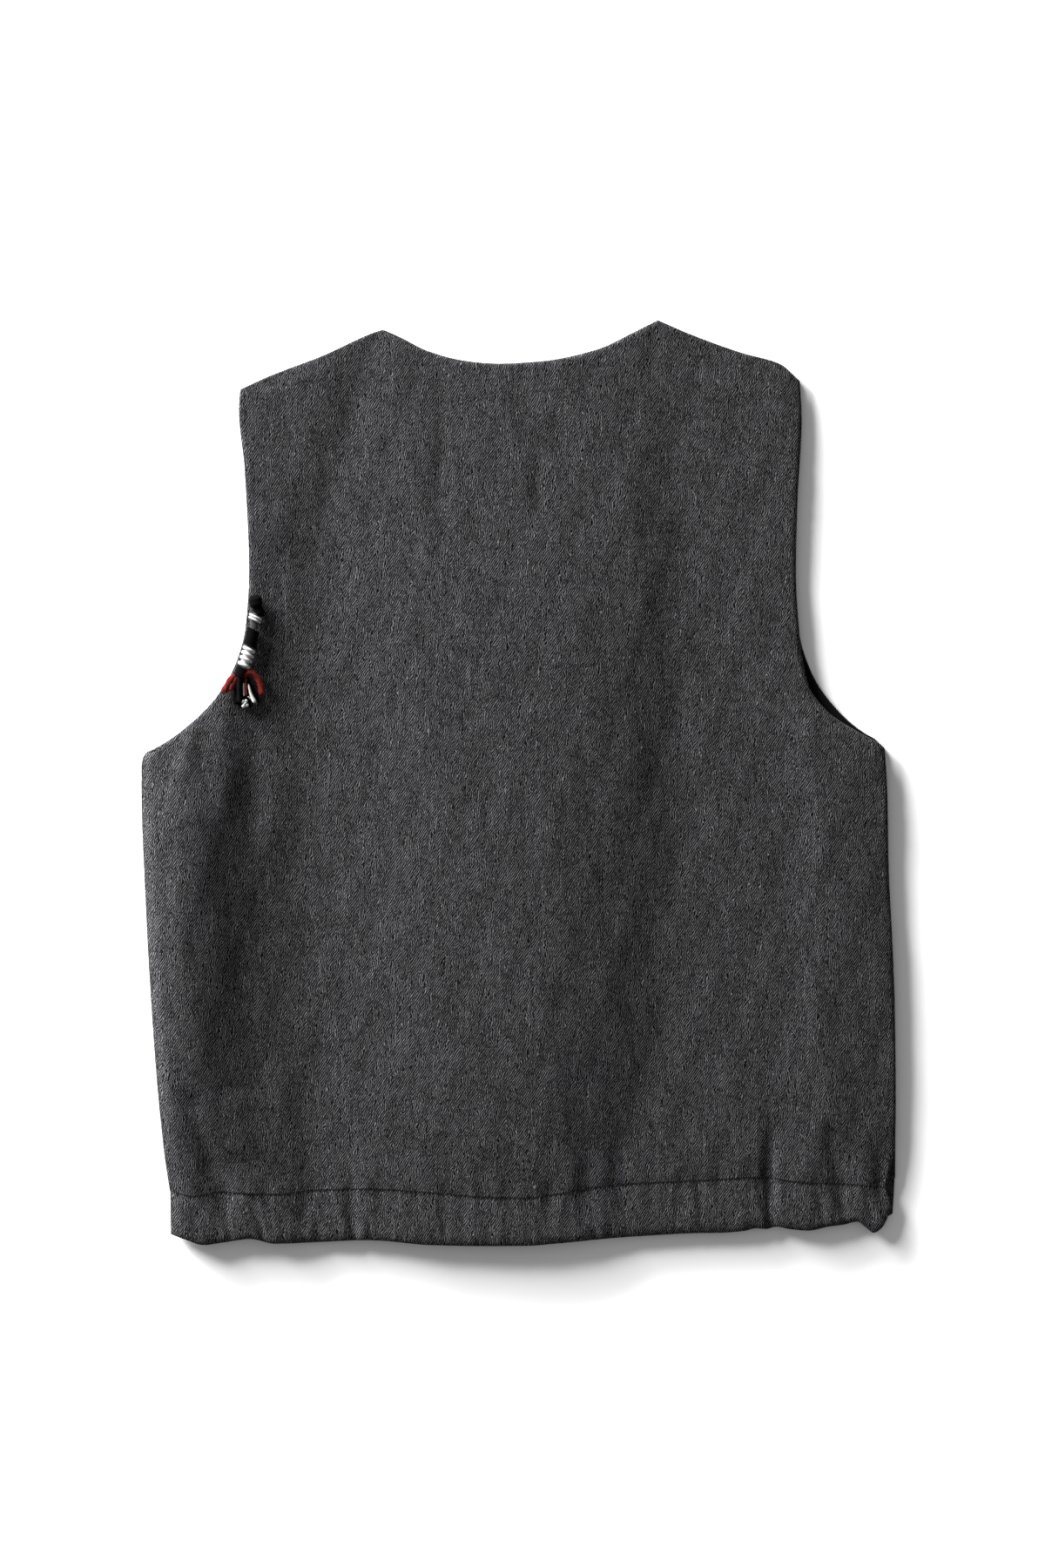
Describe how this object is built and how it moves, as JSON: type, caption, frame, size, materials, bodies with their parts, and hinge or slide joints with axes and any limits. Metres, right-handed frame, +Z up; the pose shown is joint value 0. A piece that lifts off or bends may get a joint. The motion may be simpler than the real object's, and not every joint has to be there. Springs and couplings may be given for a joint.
{
  "type": "vest",
  "caption": "Plain sleeveless vest with an elasticated hem casing, laid flat with its back up, and a small yarn tassel at one armhole.",
  "frame": {"origin": "on the surface that the vest lies on, under the middle of its bounding box", "axes": "+Y from the hem to the neck, +Z up from the surface through the fronts to the back, +X to the right for someone who looks down on the back"},
  "size_m": [0.4999, 0.6138, 0.0186],
  "materials": {
    "twill": "matte marled charcoal twill with a short nap",
    "lining": "smooth black lining cloth",
    "yarn_black": "fuzzy black wool yarn",
    "yarn_grey": "dark grey cord",
    "yarn_white": "off-white wool yarn",
    "yarn_red": "fuzzy red wool yarn"
  },
  "bodies": {
    "root": {"back": "twill", "back_casing": "twill", "front_left": "twill", "front_left_casing": "twill", "front_right": "twill", "front_right_casing": "twill", "front_right_lining": "lining", "tassel_knot": "yarn_black", "tassel_cord": "yarn_grey", "tassel_ring": "yarn_white", "tassel_neck": "yarn_black", "tassel_windings": "yarn_white", "tassel_band": "yarn_black", "tassel_black": "yarn_black", "tassel_red_left": "yarn_red", "tassel_red_right": "yarn_red", "tassel_white": "yarn_white"}
  },
  "joints": []
}
